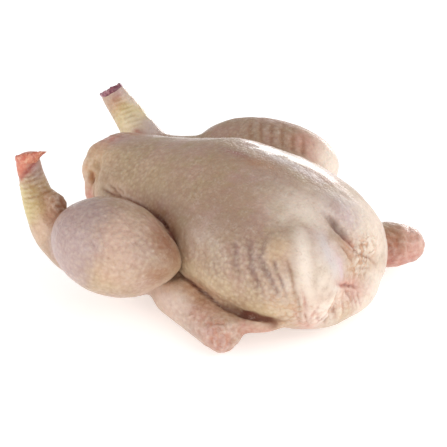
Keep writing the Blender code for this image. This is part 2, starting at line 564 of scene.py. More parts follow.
class Sculpt:
    """A mesh's points as arrays in millimetres, with the moves that shape skin."""

    NOISE_SEED = 3
    LUMP_SEED = 11.0
    DRAW_IN = 0.60
    LET_OUT = -0.62
    # An oval's edge, as a share of its half sizes.
    OVAL_EDGE = 1.25
    # Where a fold's ends taper to, as a share of its line, and how bluntly.
    FOLD_TIP = 0.04
    FOLD_TAPER = 0.6
    # Keeps a line's shortest pieces from dividing by nothing.
    TINY = 1e-6
    # How often a line laid on the skin, and a swell's edge, are evened out.
    LINE_TURNS = 3
    SWELL_TURNS = 3

    def __init__(self, piece: bpy.types.Object) -> None:
        """Reads a piece's points and edges, and seeds the noise.

        Args:
            piece: the piece to sculpt.
        """
        noise.seed_set(self.NOISE_SEED)
        self.piece = piece
        mesh = piece.data
        self.count = len(mesh.vertices)
        flat = np.empty(self.count * 3)
        mesh.vertices.foreach_get("co", flat)
        self.points = flat.reshape(-1, 3) / MILLIMETRE
        pairs = np.empty(len(mesh.edges) * 2, dtype=np.int64)
        mesh.edges.foreach_get("vertices", pairs)
        self.pairs = pairs.reshape(-1, 2)
        self.ties = np.bincount(self.pairs.ravel(), minlength=self.count)[:, None]

    def write(self) -> None:
        """Puts the points back into the mesh."""
        self.piece.data.vertices.foreach_set("co", self.points.ravel() * MILLIMETRE)
        self.piece.data.update()

    def normals(self) -> np.ndarray:
        """Writes the points and reads the skin's directions back.

        Returns:
            The normal at each point.
        """
        self.write()
        flat = np.empty(self.count * 3)
        self.piece.data.vertices.foreach_get("normal", flat)
        return flat.reshape(-1, 3)

    def blurred(self, values: np.ndarray, turns: int, factor: float = 0.5) -> np.ndarray:
        """Averages values with those of their neighbours.

        Args:
            values: one row for each point.
            turns: how many times.
            factor: the neighbours' share.

        Returns:
            The averaged values.
        """
        out = values.copy()
        first, second = self.pairs.T
        for _ in range(turns):
            near = np.empty_like(out)
            for k in range(out.shape[1]):
                total = np.bincount(first, out[second, k], self.count)
                near[:, k] = total + np.bincount(second, out[first, k], self.count)
            out += (near / self.ties - out) * factor
        return out

    def relax(self, turns: int) -> None:
        """Takes facets out without shrinking the shape.

        Args:
            turns: how many times the points are drawn in and let out.
        """
        for _ in range(turns):
            self.points = self.blurred(self.points, 1, self.DRAW_IN)
            self.points = self.blurred(self.points, 1, self.LET_OUT)

    def soften(self, turns: int) -> None:
        """Smooths the points, creases included."""
        self.points = self.blurred(self.points, turns)

    def wander(self, scale: float, amount: float, seed: float = 0.0) -> np.ndarray:
        """The points, shifted by smooth noise so that lines drawn on them waver.

        Args:
            scale: bumps of the noise to the metre.
            amount: the largest shift.
            seed: moves to another part of the noise.

        Returns:
            The shifted points.
        """
        push = Vector((seed, -seed, seed * 2))
        finer = scale * MILLIMETRE
        shift = [noise.noise_vector(Vector(p) * finer + push) for p in self.points]
        return self.points + np.array(shift) * amount

    def bumps(self, scale: float, seed: float = 0.0) -> np.ndarray:
        """Smooth noise at each point, between about -1 and 1.

        Args:
            scale: bumps to the metre.
            seed: moves to another part of the noise.

        Returns:
            One value for each point.
        """
        push = Vector((seed, seed * 3, -seed))
        finer = scale * MILLIMETRE
        return np.array([noise.noise(Vector(p) * finer + push) for p in self.points])

    @staticmethod
    def smooth_line(line: tuple[Point, ...], steps: int = 8) -> np.ndarray:
        """A Catmull-Rom line through the points.

        Args:
            line: the points that it passes through.
            steps: pieces to each span.

        Returns:
            The finer line.
        """
        rows = np.array(line, float)
        padded = np.vstack([2 * rows[0] - rows[1], rows, 2 * rows[-1] - rows[-2]])
        out = []
        for a, b, c, d in zip(padded, padded[1:], padded[2:], padded[3:]):
            for t in np.arange(steps) / steps:
                bend = (2 * a - 5 * b + 4 * c - d) * t**2 + (3 * b - a - 3 * c + d) * t**3
                out.append(0.5 * (2 * b + (c - a) * t + bend))
        out.append(rows[-1])
        return np.array(out)

    def on_skin(self, line: np.ndarray) -> np.ndarray:
        """Moves a line's points to the nearest places of the skin.

        Args:
            line: the points.

        Returns:
            The moved points, evened out along the line.
        """
        near = [np.argmin(((self.points - point) ** 2).sum(axis=1)) for point in line]
        out = self.points[near]
        for _ in range(self.LINE_TURNS):
            out[1:-1] = out[1:-1] * 0.5 + (out[:-2] + out[2:]) * 0.25
        return out

    def strength(self, fold: Fold, where: np.ndarray) -> np.ndarray:
        """How much a fold acts at each point.

        Args:
            fold: the fold.
            where: the points that distances are taken from, wavering or not.

        Returns:
            A share from 0 to 1 for each point.
        """
        fine = self.on_skin(self.smooth_line(fold.line))
        margin = fold.width * 3
        low, high = fine.min(axis=0) - margin, fine.max(axis=0) + margin
        near = np.flatnonzero(((where > low) & (where < high)).all(axis=1))
        spots = where[near]
        nearest = np.full(len(near), np.inf)
        full = np.zeros(len(near))
        for i, (start, end) in enumerate(zip(fine, fine[1:])):
            way = end - start
            share = np.clip((spots - start) @ way / (way @ way + self.TINY), 0.0, 1.0)
            away = np.linalg.norm(spots - start - share[:, None] * way, axis=1)
            closer = away < nearest
            nearest[closer] = away[closer]
            place = (i + share[closer]) / (len(fine) - 1)
            inner = np.clip(place, self.FOLD_TIP, 1 - self.FOLD_TIP)
            full[closer] = np.sin(np.pi * inner) ** self.FOLD_TAPER
        out = np.zeros(self.count)
        out[near] = full * np.exp(-((nearest / fold.width) ** 2))
        return out

    def inside(self, centre: Point, reach: Point) -> np.ndarray:
        """How far into an oval each point lies: 1 in the middle, 0 outside.

        Args:
            centre: the oval's centre.
            reach: its half sizes.

        Returns:
            The shares.
        """
        far = np.linalg.norm((self.points - np.array(centre)) / np.array(reach), axis=1)
        return np.clip(self.OVAL_EDGE - far, 0.0, 1.0)

    def push(self, shift: np.ndarray) -> None:
        """Moves each point along its normal."""
        self.points = self.points + self.normals() * shift[:, None]

    def ripple(self, sets: tuple[Ripples, ...], where: np.ndarray) -> None:
        """Raises sets of parallel wrinkles.

        Args:
            sets: the wrinkles.
            where: the points that phases are taken from.
        """
        shift = np.zeros(self.count)
        for one in sets:
            across = np.array(one.across) / np.linalg.norm(one.across)
            fade = self.inside(one.centre, one.reach)
            phase = (where @ across) * np.pi / one.spacing
            shift += one.height * fade * (np.abs(np.sin(phase)) * 2 - 1)
        self.push(shift)

    def lump(self, sets: tuple[Lumps, ...]) -> None:
        """Raises sets of irregular bumps.

        Args:
            sets: the bumps.
        """
        shift = np.zeros(self.count)
        for i, one in enumerate(sets):
            fade = self.inside(one.centre, one.reach)
            shift += one.height * fade * self.bumps(one.scale, self.LUMP_SEED + i)
        self.push(shift)

    def swell(self, sets: tuple[Swell, ...]) -> None:
        """Moves the skin that faces each swell's way.

        Args:
            sets: the swells.
        """
        for one in sets:
            way = np.array(one.way) / np.linalg.norm(one.way)
            facing = np.clip(self.normals() @ way, 0.0, 1.0) ** 0.5
            fade = self.inside(one.centre, one.reach)
            shift = self.blurred((one.amount * fade * facing)[:, None], self.SWELL_TURNS)
            self.points = self.points + shift * way

    def ease(self, centre: Point, reach: Point, turns: int) -> None:
        """Smooths one oval region.

        Args:
            centre: the oval's centre.
            reach: its half sizes.
            turns: how many times the points are averaged.
        """
        fade = np.clip(self.inside(centre, reach) * 2, 0.0, 1.0)
        self.points = self.points + (self.blurred(self.points, turns) - self.points) * fade[:, None]

    def hollow(self, turns: int) -> np.ndarray:
        """How far each point lies below its surroundings."""
        return ((self.blurred(self.points, turns) - self.points) * self.normals()).sum(axis=1)

    def store(self, mask: Mask, values: np.ndarray) -> None:
        """Keeps one share for each point on the mesh, held between 0 and 1."""
        made = self.piece.data.attributes.new(mask.value, "FLOAT", "POINT")
        made.data.foreach_set("value", np.clip(values, 0.0, 1.0).astype(np.float32))


# ---------------------------------------------------------------- the bird


@dataclass
class SkinCover:
    """The unbroken skin over trunk, legs and wings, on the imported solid's form."""

    voxel: float = 1.4
    quick_share: float = 1.5
    relax_turns: int = 4
    soften_turns: int = 2
    # Slack front of the breast, and the upper end of the drumstick's crease: smoothed.
    front: tuple[Point, Point, int] = ((122, -20, 64), (18, 16, 26), 60)
    crease_end: tuple[Point, Point, int] = ((21, -62, 62), (8, 7, 8), 30)
    # Hollows are drawn in by a share of their depth, down to the deepest.
    hollow_turns: int = 12
    deepen: float = 0.9
    deepest: float = 2.5
    # How far round a point a narrow and a wide hollow reach, in turns of averaging, and the
    # depth at which each has its full painted shade, and a ridge its full painted highlight.
    narrow_turns: int = 6
    wide_turns: int = 60
    narrow_crease: float = 0.9
    wide_crease: float = 6.0
    ridge: float = 0.6
    # How folds, wrinkles and the edges of patches waver: bumps to the metre, how far, seed.
    fold_waver: tuple[float, float, float] = (80.0, 0.9, 0.0)
    ripple_waver: tuple[float, float, float] = (90.0, 2.2, 7.0)
    broad_waver: tuple[float, float, float] = (60.0, 4.0, 3.0)
    fine_waver: tuple[float, float, float] = (220.0, 2.2, 9.0)
    # Unevenness of all the skin: bumps to the metre, height and seed.
    unevenness: tuple[tuple[float, float, float], ...] = ((38.0, 0.7, 0.0), (110.0, 0.3, 4.0))
    # Where follicles stand out more, or less: how much, centre and half sizes.
    even_bumpy: float = 0.26
    patchy_bumpy: float = 0.25
    bumpy_noise: tuple[float, float] = (30.0, 5.0)
    bumpy: tuple[tuple[float, Point, Point], ...] = (
        (0.60, (86, -62, 48), (46, 30, 34)),
        (0.50, (-40, -26, 80), (60, 30, 24)),
        (0.35, (-4, -96, 70), (52, 36, 42)),
        (-0.60, (116, -30, 66), (18, 26, 34)),
    )
    folds: tuple[Fold, ...] = (
        # Thin crease between the near drumstick and the breast, darkened with painted shade, and brown
        # painted shade beside it and down the drumstick's edge.
        Fold(-2.4, 1.3, ((-66, -35, 61), (-36, -40, 64), (-10, -49, 67), (14, -58, 65), (24, -65, 59),
             (30, -68, 49), (30, -68, 38)), Mask.DARK),
        Fold(0, 5, ((-46, -39, 62), (-17, -46, 69), (14, -55, 69), (28, -62, 60)), Mask.BROWN, 0.8),
        Fold(0, 7.5, ((12, -73, 78), (24, -76, 71), (29, -76, 65), (33, -78, 56), (34, -82, 50)),
             Mask.BROWN, 0.85),
        # Crease between the near wing and the breast, widening to a hollow, darkened with painted shade,
        # and brown painted shade beside it.
        Fold(-2.6, 1.1, ((22, -62, 42), (37, -65, 36), (47, -68, 34), (66, -70, 30), (78, -66, 26)),
             Mask.DARK),
        Fold(-3.4, 1.6, ((66, -70, 29), (85, -66, 26), (99, -63, 27), (111, -57, 26)), Mask.DARK),
        Fold(0, 3, ((44, -70, 32), (54, -73, 30), (64, -74, 28)), Mask.BROWN, 0.55),
        # Slack wrinkles down the near side of the breast, their grooves darkened with plum and brown
        # painted shade.
        Fold(-1.2, 3.2, ((70, -59, 75), (72, -61, 72), (78, -66, 62), (82, -68, 57)), Mask.PLUM, 0.9),
        Fold(-1.4, 3.1, ((78, -53, 78), (81, -56, 74), (87, -62, 66), (93, -66, 57), (99, -66, 50)),
             Mask.PLUM),
        Fold(-1.4, 2.8, ((88, -48, 80), (91, -55, 75), (93, -60, 69), (103, -63, 59), (107, -63, 53),
             (112, -62, 46)), Mask.PLUM),
        Fold(-1.2, 1.6, ((100, -58, 71), (103, -59, 68), (111, -61, 55), (115, -60, 47)), Mask.PLUM, 0.9),
        Fold(-1, 1.4, ((108, -54, 72), (116, -57, 61), (119, -56, 40)), Mask.BROWN, 0.6),
        # Valley between the two sides of the breast, with its branches.
        Fold(-2, 2.4, ((104, -5, 83), (109, -4, 79), (114, -3, 74), (119, -2, 69), (122, -1, 66)),
             Mask.PLUM, 0.9),
        Fold(0, 4.6, ((124, -3, 64), (127, 0, 59), (129, 8, 53), (129, 18, 45), (130, 23, 40)), Mask.RUST,
             0.32),
        Fold(0, 2.6, ((119, -6, 70), (124, -7, 65), (129, -8, 57), (130, -6, 50)), Mask.RUST, 0.4),
        Fold(-1.2, 1.3, ((119, -2, 69), (122, -1, 66), (126, 0, 61), (128, 7, 55), (128, 17, 47),
             (130, 23, 41)), Mask.BROWN, 0.9),
        Fold(0, 2.4, ((119, -3, 69), (123, -1, 65), (125, 1, 62)), Mask.BLOOD, 0.75),
        Fold(-0.9, 1.1, ((122, -12, 68), (125, -10, 65), (128, -9, 60), (129, -7, 56)), Mask.BROWN, 0.7),
        # Pale ridge down the front, partly paler skin and partly painted light where it faces the light,
        # and slack grey and mauve skin between it and the valley.
        Fold(0, 8, ((98, -26, 87), (105, -33, 82), (111, -39, 79), (117, -46, 71), (121, -50, 63),
             (124, -51, 54), (126, -50, 46), (126, -47, 38)), Mask.CREAM),
        Fold(0, 6, ((110, -19, 80), (117, -24, 75), (123, -29, 68), (128, -31, 60), (131, -31, 52)),
             Mask.GREY, 0.85),
        Fold(0, 4.8, ((123, -20, 67), (128, -22, 61), (131, -23, 54), (132, -23, 48)), Mask.LILAC, 0.9),
        # Red folds over the neck, straight and hanging.
        Fold(0, 3, ((134, -31, 52), (130, -12, 41), (132, -2, 36)), Mask.RED, 0.9),
        Fold(-1.8, 1.1, ((134, -31, 51), (130, -12, 40), (132, -2, 35)), Mask.BLOOD, 0.65),
        Fold(-1.2, 1.2, ((131, -9, 36), (134, -7, 24)), Mask.RED, 0.9),
        Fold(-1.2, 1.2, ((130, -15, 40), (132, -11, 30)), Mask.RED, 0.8),
        # Neck skin folded between its lobes.
        Fold(-3.6, 1.8, ((134, -30, 44), (131, -31, 34), (127, -30, 27), (125, -30, 20)), Mask.BROWN),
        Fold(0, 4, ((133, -29, 40), (129, -30, 30), (126, -30, 22)), Mask.RUST, 0.6),
        Fold(-1.2, 1.2, ((130, -35, 30), (126, -41, 21)), Mask.BLOOD, 0.6),
        Fold(-1.4, 1.5, ((119, -55, 50), (121, -56, 43), (120, -51, 26)), Mask.BROWN, 0.6),
        Fold(-1.2, 1.4, ((122, -54, 53), (124, -53, 43), (123, -49, 26)), Mask.RED, 0.5),
        Fold(-1, 1.4, ((128, -46, 38), (124, -47, 26)), Mask.RED, 0.7),
        # Vent with its lip, the flap that hangs under it, and creases in front of the tail.
        Fold(-3.6, 2.8, ((-88, -24, 68), (-86, -26, 63), (-84, -28, 58)), Mask.RUST),
        # Painted shade deep inside the vent.
        Fold(-1.6, 1.3, ((-84, -27, 65), (-83, -28, 59)), Mask.DARK, 0.75),
        Fold(2.2, 3, ((-96, -20, 74), (-96, -23, 65), (-91, -27, 56)), Mask.CREAM, 0.5),
        Fold(4, 3.4, ((-88, -27, 59), (-87, -28, 51), (-85, -30, 44), (-82, -31, 36)), Mask.RED, 0.8),
        Fold(0, 3.6, ((-84, -30, 58), (-84, -31, 50), (-82, -32, 40)), Mask.RED, 0.9),
        Fold(-1.2, 1, ((-80, -32, 60), (-79, -32, 50), (-78, -33, 42)), Mask.BROWN, 0.6),
        Fold(-1, 1.2, ((-92, -24, 56), (-91, -25, 48), (-88, -28, 38)), Mask.BLOOD, 0.5),
        Fold(-1.4, 1.5, ((-68, -34, 62), (-56, -37, 61), (-40, -39, 62)), Mask.BROWN, 0.9),
        Fold(-1.2, 1.2, ((-62, -33, 66), (-54, -35, 64), (-46, -38, 62)), Mask.BROWN, 0.9),
        Fold(-1, 1.2, ((-52, -34, 67), (-42, -38, 65)), Mask.BROWN, 0.6),
        # Skin's torn edge round the near shank.
        Fold(-1.4, 2.2, ((-82, -78, 97), (-84, -85, 94), (-88, -90, 88), (-94, -89, 80)), Mask.BLOOD),
        Fold(0, 5, ((-86, -84, 98), (-90, -91, 92), (-95, -90, 86)), Mask.FLESH),
        # Cool grey painted highlight along the top of the breast, where the back lamp's shine lies.
        Fold(0, 6, ((20, 15, 104), (44, 16, 102), (60, 17, 99), (76, 19, 94), (90, 18, 90)), Mask.GREY,
             0.6),
    )
    fans: tuple[Fan, ...] = (
        # Upright gathers on the far thigh.
        Fan(-0.7, 1.6, ((-24, 86, 86), (-15, 73, 85), (-9, 66, 81)), ((17, 95, 83), (27, 82, 77),
            (32, 76, 72)), 6, Mask.BROWN, 0.55),
        # Scaly rings round the near and the far shank.
        Fan(-0.8, 1.2, ((-92, -89, 83), (-84, -89, 87), (-79, -80, 91)), ((-88, -93, 70), (-80, -92, 73),
            (-72, -82, 77)), 5, Mask.BROWN, 0.65),
        Fan(-0.5, 1, ((-88, -93, 68), (-80, -93, 68)), ((-79, -97, 55), (-69, -95, 57)), 5, Mask.BROWN,
            0.25),
        Fan(-0.6, 1.1, ((-120, 36, 94), (-115, 43, 95)), ((-107, 34, 74), (-94, 46, 79)), 7, Mask.BROWN,
            0.35),
        # Gathers round the lower neck, and short ones beside the valley.
        Fan(-0.9, 1.3, ((118, -58, 40), (118, -50, 22)), ((134, -4, 34), (133, -2, 20)), 8, Mask.RED, 0.55),
        Fan(-1, 1.1, ((125, 2, 62), (127, 16, 57)), ((130, -6, 50), (130, 14, 42)), 4, Mask.BROWN, 0.5),
    )
    wrinkles: tuple[Ripples, ...] = (
        Ripples(0.3, 3, (-0.3, 0.1, 0.95), (-86, -88, 78), (15, 15, 18)),
        Ripples(0.26, 3, (-0.57, 0.0, 0.82), (-112, 43, 88), (18, 16, 18)),
    )
    lumps: tuple[Lumps, ...] = (
        Lumps(1.6, 330, (-65, -82, 71), (12, 11, 12)),
        Lumps(0.7, 300, (-83, -90, 78), (12, 12, 18)),
        Lumps(1.4, 330, (128, 6, 54), (10, 20, 16)),
        Lumps(0.9, 300, (100, -60, 48), (24, 14, 18)),
        Lumps(0.7, 380, (80, -62, 55), (40, 18, 30)),
        Lumps(1.9, 200, (80, -84, 18), (20, 18, 16)),
        Lumps(0.8, 420, (80, -84, 18), (20, 18, 16)),
        Lumps(0.9, 300, (52, -80, 24), (32, 16, 18)),
        Lumps(1, 210, (128, -34, 26), (16, 24, 14)),
        Lumps(0.8, 380, (124, -44, 30), (12, 20, 16)),
        Lumps(0.8, 300, (131, 0, 36), (10, 26, 18)),
        Lumps(0.7, 190, (0, 86, 82), (30, 20, 16)),
        Lumps(1.5, 230, (116, 82, 28), (20, 24, 18)),
        Lumps(1.2, 130, (-90, -8, 76), (14, 22, 20)),
        Lumps(1.6, 230, (-88, 2, 84), (14, 12, 8)),
        Lumps(0.5, 420, (-50, -22, 78), (44, 30, 24)),
        Lumps(0.6, 360, (0, -96, 70), (50, 34, 40)),
        Lumps(0.6, 300, (20, -112, 52), (24, 16, 22)),
    )
    swells: tuple[Swell, ...] = (
        # The drumstick draws in above the wing.
        Swell(-5, (0.55, -0.55, -0.62), (30, -94, 40), (16, 18, 14)),
        # The far shank is full behind.
        Swell(3.4, (0.7, 0.4, 0.6), (-108, 50, 90), (18, 16, 16)),
        # The drumstick and the breast press against each other, leaving a thin crease.
        Swell(5.8, (0.79, 0.61, -0.1), (32, -80, 52), (18, 24, 26)),
        Swell(5.5, (-0.7, -0.61, 0.1), (26, -60, 54), (22, 16, 24)),
        # The wing's shoulder, and the web of skin between wing and breast.
        Swell(7, (0.3, -0.6, 0.74), (31, -74, 30), (18, 16, 12)),
        Swell(3.5, (0.1, -0.3, 1.0), (90, -68, 22), (24, 14, 10)),
    )
    patches: tuple[Patch, ...] = (
        # Near drumstick: mauve outside, peach below, and brown and dark painted shade where it meets the
        # breast and above the wing, and in the hollow between the wing and the breast.
        Patch(Mask.MAUVE, (-30, -112, 68), (33, 36, 36), 1.0, 9.0),
        Patch(Mask.BLUSH, (10, -102, 66), (22, 22, 28), 0.9, 3.0),
        Patch(Mask.YELLOW, (8, -118, 48), (22, 12, 14), 0.5),
        Patch(Mask.RED, (10, -115, 54), (8, 6, 5), 0.25),
        Patch(Mask.BROWN, (28, -81, 67), (10, 12, 13), 1.0, 3.0),
        Patch(Mask.PLUM, (26, -94, 68), (12, 10, 12), 0.5),
        Patch(Mask.DARK, (30, -79, 65), (8, 8, 11), 0.45),
        Patch(Mask.DARK, (20, -62, 61), (6, 5, 6), 1.0, 3.0),
        Patch(Mask.DARK, (91, -61, 26.5), (26, 4.8, 5), 1.0, 3.0),
        Patch(Mask.BROWN, (33, -92, 48), (9, 10, 11), 0.9),
        Patch(Mask.DULL, (0, -76, 83), (34, 14, 12), 1.0, 3.0),
        Patch(Mask.PLUM, (-10, -90, 88), (24, 14, 8), 0.25),
        # Slack skin at the front of the breast.
        Patch(Mask.BLUSH, (124, -50, 36), (9, 12, 18), 0.9),
        # The cream here is partly the skin's own pale colour and partly painted light on the front, which
        # faces the window lamp.
        Patch(Mask.CREAM, (115, -58, 58), (7, 7, 10), 0.55),
        Patch(Mask.CREAM, (129, -38, 52), (8, 10, 14), 0.85, 3.0),
        Patch(Mask.CREAM, (127, -32, 32), (16, 20, 20), 0.95, 3.0),
        Patch(Mask.CREAM, (114, 26, 58), (24, 30, 32), 0.85, 3.0),
        Patch(Mask.CREAM, (130, 12, 26), (16, 28, 18), 0.85, 3.0),
        Patch(Mask.CREAM, (122, -30, 60), (16, 20, 26), 0.7, 3.0),
        Patch(Mask.CREAM, (98, -16, 88), (24, 22, 14), 0.8),
        Patch(Mask.MAUVE, (66, -10, 98), (20, 18, 12), 0.4),
        Patch(Mask.DULL, (125, -20, 62), (14, 16, 20), 1.0, 3.0),
        Patch(Mask.DULL, (112, 34, 68), (34, 22, 24), 1.0, 4.0),
        Patch(Mask.LILAC, (114, 8, 78), (10, 9, 9), 0.6),
        Patch(Mask.GREY, (106, 10, 83), (16, 16, 12), 0.7),
        Patch(Mask.YELLOW, (129, 8, 53), (7, 18, 12), 0.8),
        Patch(Mask.RED, (124, -2, 60), (5, 8, 10), 0.5),
        Patch(Mask.BROWN, (106, 6, 84), (12, 5, 6), 0.35),
        Patch(Mask.YELLOW, (131, -18, 22), (10, 10, 10), 0.6),
        Patch(Mask.RED, (131, -9, 37), (10, 13, 11), 0.75),
        Patch(Mask.RED, (122, -46, 20), (8, 8, 10), 0.6),
        # Breast: brownish mauve flank, yellow and fatty low down.
        Patch(Mask.PLUM, (60, -50, 76), (36, 22, 18), 0.45),
        Patch(Mask.PEACH, (102, -54, 73), (9, 9, 12), 0.95, 3.0),
        Patch(Mask.YELLOW, (101, -52, 76), (8, 9, 8), 0.35),
        Patch(Mask.YELLOW, (52, -72, 46), (36, 12, 14), 0.7),
        Patch(Mask.PLUM, (62, -69, 58), (12, 10, 14), 0.45),
        Patch(Mask.YELLOW, (100, -60, 34), (18, 14, 12), 0.9),
        Patch(Mask.PEACH, (110, -56, 40), (10, 12, 20), 0.8),
        Patch(Mask.BLOOD, (26, -1, 105), (10, 3, 6), 0.55),
        Patch(Mask.PLUM, (30, -1, 105), (20, 5, 6), 0.8),
        Patch(Mask.RUST, (48, -2, 102), (14, 6, 6), 0.35),
        Patch(Mask.YELLOW, (-36, -28, 82), (40, 18, 14), 0.4),
        # Painted light over the band above the drumstick's crease, which lies in shade.
        Patch(Mask.PEACH, (-52, -34, 67), (18, 10, 7), 0.9),
        # Painted light on the flank beside the drumstick's crease, which lies in shade.
        Patch(Mask.CREAM, (50, -60, 66), (14, 10, 16), 0.25),
        # Small fatty lumps with rusty seams between them.
        Patch(Mask.FLECK, (128, 6, 55), (10, 18, 12), 0.9, 3.0),
        Patch(Mask.FLECK, (128, -20, 28), (14, 30, 14), 0.4, 3.0),
        Patch(Mask.FLECK, (116, -56, 34), (14, 12, 14), 0.45, 3.0),
        Patch(Mask.FLECK, (108, -62, 46), (14, 10, 14), 0.35, 3.0),
        Patch(Mask.FLECK, (80, -86, 19), (16, 14, 14), 0.45, 3.0),
        Patch(Mask.FLECK, (118, 80, 24), (16, 24, 16), 0.25, 3.0),
        # Tail.
        Patch(Mask.PEACH, (-84, -20, 66), (24, 22, 26), 1.0, 3.0),
        Patch(Mask.YELLOW, (-82, -20, 68), (24, 16, 18), 0.6),
        Patch(Mask.RUST, (-91, -21, 64), (6, 7, 8), 0.6),
        Patch(Mask.RUST, (-93, -12, 78), (10, 12, 8), 0.25),
        Patch(Mask.MAUVE, (-80, 0, 87), (12, 10, 6), 0.8),
        Patch(Mask.RED, (-89, -1, 85), (10, 9, 5), 0.9),
        Patch(Mask.BLOOD, (-76, 12, 87), (4, 4, 4), 0.8),
        # Near wing: peach shoulder, pink rough end, pink web to the breast.
        Patch(Mask.PEACH, (36, -78, 28), (40, 18, 16), 1.0, 3.0),
        Patch(Mask.RED, (79, -88, 18), (14, 12, 13), 0.85),
        Patch(Mask.PLUM, (56, -78, 28), (12, 8, 8), 0.35),
        Patch(Mask.RUST, (48, -73, 32), (16, 6, 6), 0.45),
        Patch(Mask.BLOOD, (74, -86, 24), (6, 6, 4), 0.45),
        Patch(Mask.CREAM, (86, -82, 22), (5, 6, 5), 0.5),
        # Brown painted shade along the crease between the wing and the breast.
        Patch(Mask.BROWN, (46, -70, 34), (10, 4, 4), 0.6),
        Patch(Mask.RED, (64, -80, 26), (13, 8, 8), 0.5),
        Patch(Mask.MAUVE, (58, -92, 14), (18, 10, 12), 0.6),
        Patch(Mask.BLOOD, (84, -90, 12), (9, 8, 6), 0.55),
        Patch(Mask.RED, (98, -68, 18), (20, 10, 7), 0.75),
        # Far wing: brownish red beside the breast, pink beyond.
        Patch(Mask.RED, (118, 78, 22), (16, 24, 18), 0.9, 4.0),
        Patch(Mask.BLUSH, (124, 83, 30), (16, 22, 14), 1.0, 3.0),
        Patch(Mask.BLOOD, (122, 82, 14), (12, 14, 6), 0.4),
        Patch(Mask.BLOOD, (116, 67, 22), (8, 8, 9), 0.6),
        Patch(Mask.BROWN, (112, 72, 34), (12, 15, 16), 0.95, 3.0),
        Patch(Mask.BLOOD, (112, 70, 26), (8, 10, 10), 0.6),
        Patch(Mask.PLUM, (118, 70, 20), (8, 12, 8), 0.5),
        # Far thigh.
        Patch(Mask.BLUSH, (36, 94, 72), (18, 18, 20), 1.0, 3.0),
        Patch(Mask.CREAM, (43, 98, 63), (16, 18, 21)),
        Patch(Mask.RED, (22, 88, 81), (9, 10, 9), 0.55),
        Patch(Mask.RED, (30, 82, 77), (10, 8, 8), 0.4),
        Patch(Mask.DULL, (0, 88, 84), (50, 24, 24), 1.0, 4.0),
        Patch(Mask.PLUM, (-14, 82, 84), (30, 20, 16), 0.5),
        # Near shank: yellow scales, a brown rough heel, flesh at the cut.
        Patch(Mask.SCALES, (-84, -91, 70), (14, 14, 20), 1.0, 4.0),
        Patch(Mask.PEACH, (-68, -96, 54), (14, 14, 14)),
        Patch(Mask.PLUM, (-81, -83, 90), (8, 10, 7)),
        Patch(Mask.LILAC, (-82, -83, 91), (6, 8, 6), 0.7),
        Patch(Mask.BLUSH, (-92, -92, 80), (5, 4, 9), 0.8),
        Patch(Mask.OLIVE, (-78, -87, 83), (12, 9, 10), 1.0, 3.0),
        Patch(Mask.OLIVE, (-76, -91, 73), (8, 8, 12), 0.8),
        Patch(Mask.BROWN, (-74, -84, 81), (6, 6, 5), 0.75),
        Patch(Mask.BROWN, (-67, -83, 71), (12, 10, 12), 1.0, 3.0),
        Patch(Mask.DARK, (-62, -80, 72), (7, 6, 9), 0.55),
        Patch(Mask.RED, (-68, -89, 63), (8, 7, 6), 0.55),
        Patch(Mask.FLESH, (-100, -88, 98), (16, 16, 17), 1.0, 8.0),
        Patch(Mask.BLOOD, (-91, -91, 87), (5, 5, 5), 0.45),
        # Far shank: yellow, tan near the cut, grey pink above the thigh.
        Patch(Mask.SCALES, (-106, 40, 81), (14, 14, 14), 1.0, 4.0),
        Patch(Mask.PEACH, (-116, 42, 92), (12, 12, 10), 0.9),
        Patch(Mask.CREAM, (-112, 50, 92), (8, 8, 14), 0.6),
        Patch(Mask.RUST, (-116, 37, 92), (6, 6, 10), 0.45),
        Patch(Mask.BLOOD, (-120, 38, 98), (4, 4, 6), 0.55),
        Patch(Mask.LILAC, (-119, 42, 101), (6, 6, 7), 0.7),
        Patch(Mask.MAUVE, (-88, 47, 77), (10, 10, 7), 0.5),
        Patch(Mask.GREY, (-90, 45, 75), (10, 10, 10), 0.6),
        Patch(Mask.BLOOD, (-94, 37, 73), (6, 6, 5), 1.0, 3.0),
        # Top of the far wing, less moist than the breast.
        Patch(Mask.DULL, (108, 74, 44), (24, 24, 14), 0.9, 3.0),
        # Painted light on the near wing's shoulder, which lies in the drumstick's shade, and paler scales
        # low on the far shank.
        Patch(Mask.GREY, (34, -80, 26), (26, 12, 14), 0.5),
        Patch(Mask.CREAM, (-103, 40, 77), (10, 10, 9), 0.45),
    )

    def copy_form(self) -> bpy.types.Object:
        """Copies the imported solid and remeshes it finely.

        Returns:
            The new piece.
        """
        piece = bpy.data.objects.new("skin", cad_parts["duck"].data.copy())
        bpy.context.scene.collection.objects.link(piece)
        skin = piece.modifiers.new("even", "REMESH")
        skin.mode = "VOXEL"
        skin.voxel_size = self.voxel * MILLIMETRE * 1.0
        bpy.context.view_layer.objects.active = piece
        bpy.ops.object.modifier_apply(modifier=skin.name)
        return piece

    def masks(self, form: Sculpt, folded: dict[Mask, np.ndarray]) -> None:
        """Stores the shares that the skin's shader reads.

        Args:
            form: the sculpted skin.
            folded: the shares that folds give.
        """
        where = form.wander(*self.broad_waver)
        where = where + (form.wander(*self.fine_waver) - form.points)
        for mask in Mask:
            if mask in (Mask.CREASE, Mask.RIDGE_HIGHLIGHT, Mask.BUMPY):
                continue
            total = folded.get(mask, np.zeros(form.count))
            for patch in self.patches:
                if patch.mask is mask:
                    far = np.linalg.norm((where - patch.centre) / np.array(patch.reach), axis=1)
                    total = np.maximum(total, patch.strength * np.exp(-(far**patch.power)))
            form.store(mask, total)
        # Painted shade in creases and hollows, from how far each point lies below its surroundings.
        narrow, wide = form.hollow(self.narrow_turns), form.hollow(self.wide_turns)
        crease_shade = 0.55 * np.clip(narrow / self.narrow_crease, 0, 1)
        form.store(Mask.CREASE, crease_shade + 0.25 * np.clip(wide / self.wide_crease, 0, 1))
